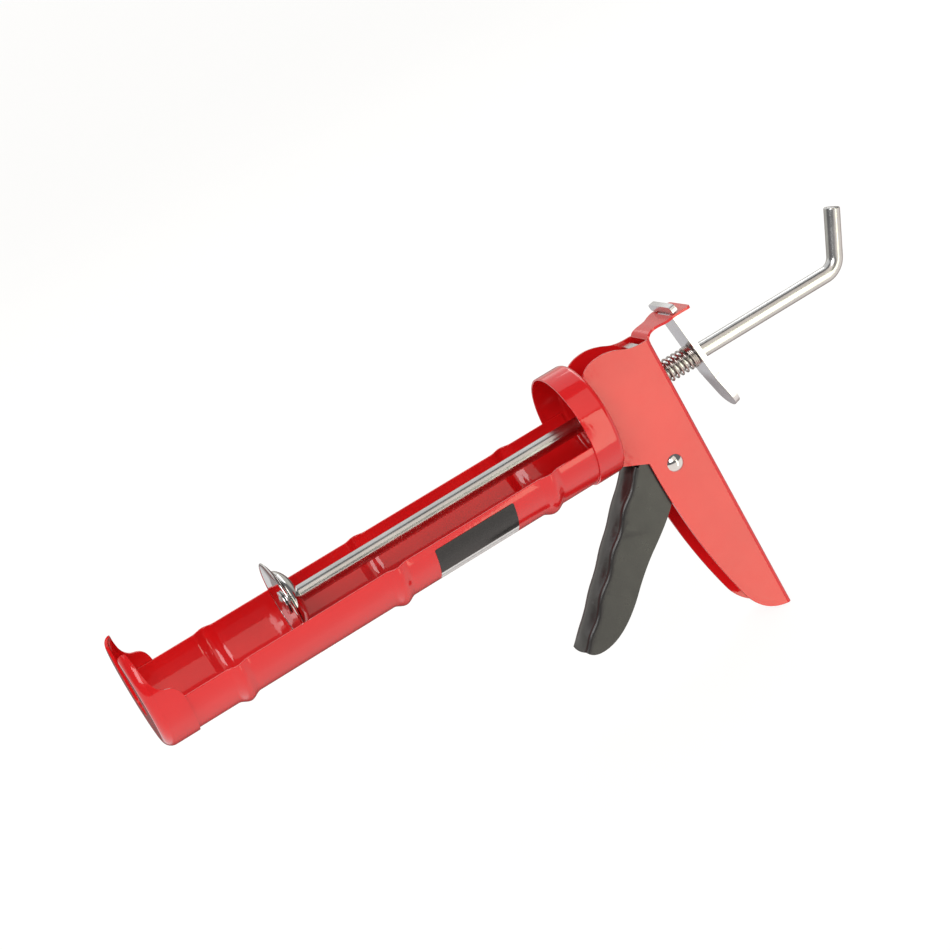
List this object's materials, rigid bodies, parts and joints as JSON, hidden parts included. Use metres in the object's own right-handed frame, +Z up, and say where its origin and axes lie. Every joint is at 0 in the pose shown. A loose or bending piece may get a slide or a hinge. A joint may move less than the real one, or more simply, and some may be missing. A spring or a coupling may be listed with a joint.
{
  "type": "caulking gun",
  "caption": "Cradle caulking gun with a smooth hooked rod, a dished plunger, a friction drive worked by the trigger and a thumb release lever.",
  "frame": {"origin": "on the plunger rod's axis, in the plane of the collar's front rim, where the cartridge bay begins", "axes": "+X forward along the rod towards the nozzle notch, +Y to the gun's left, +Z up"},
  "size_m": [0.387, 0.0561, 0.1526],
  "materials": {
    "red_enamel": "gloss",
    "black_coat": "satin",
    "zinc_plate": "satin",
    "bright_plate": "polished",
    "sticker": "satin"
  },
  "bodies": {
    "frame": {"cradle": "red_enamel", "front_cap": "red_enamel", "collar": "red_enamel", "label": "sticker", "handle_frame": "red_enamel", "collar_rivets": "red_enamel", "pivot_rivet": "bright_plate", "pivot_washer": "zinc_plate", "drive_spring": "zinc_plate", "brake_spring": "bright_plate"},
    "trigger": {"trigger": "black_coat"},
    "drive_plates": {"drive_plate_front": "zinc_plate", "drive_plate_middle": "zinc_plate", "drive_plate_rear": "zinc_plate"},
    "plunger": {"plunger_disc": "bright_plate", "plunger_hub": "bright_plate"},
    "rod": {"rod": "bright_plate", "plunger_washer": "zinc_plate"},
    "release_lever": {"release_lever": "zinc_plate"}
  },
  "joints": [
    {"name": "trigger_pivot", "type": "hinge", "parent": "frame", "child": "trigger", "pos_m": [-0.037, 0, -0.036], "axis": [0, 1, 0], "range_deg": [0, 30], "stiffness_Nm_per_rad": 0.5, "springref_deg": -20.05},
    {"name": "drive_slide", "type": "slide", "parent": "frame", "child": "drive_plates", "axis": [1, 0, 0], "range_m": [0, 0.0156], "deforming": ["drive_spring"]},
    {"name": "plunger_slide", "type": "slide", "parent": "frame", "child": "plunger", "axis": [1, 0, 0], "range_m": [-0.15, 0.062]},
    {"name": "rod_spin", "type": "hinge", "parent": "plunger", "child": "rod", "pos_m": [0, 0, 0], "axis": [1, 0, 0], "continuous": true},
    {"name": "release_pivot", "type": "hinge", "parent": "frame", "child": "release_lever", "pos_m": [-0.0673, 0, 0.0232], "axis": [0, -1, 0], "range_deg": [0, 6], "stiffness_Nm_per_rad": 0.2, "springref_deg": -28.65, "deforming": ["brake_spring"]}
  ],
  "couplings": [
    {"joint": "drive_slide", "follows": "trigger_pivot", "m_per_rad": 0.0296}
  ]
}
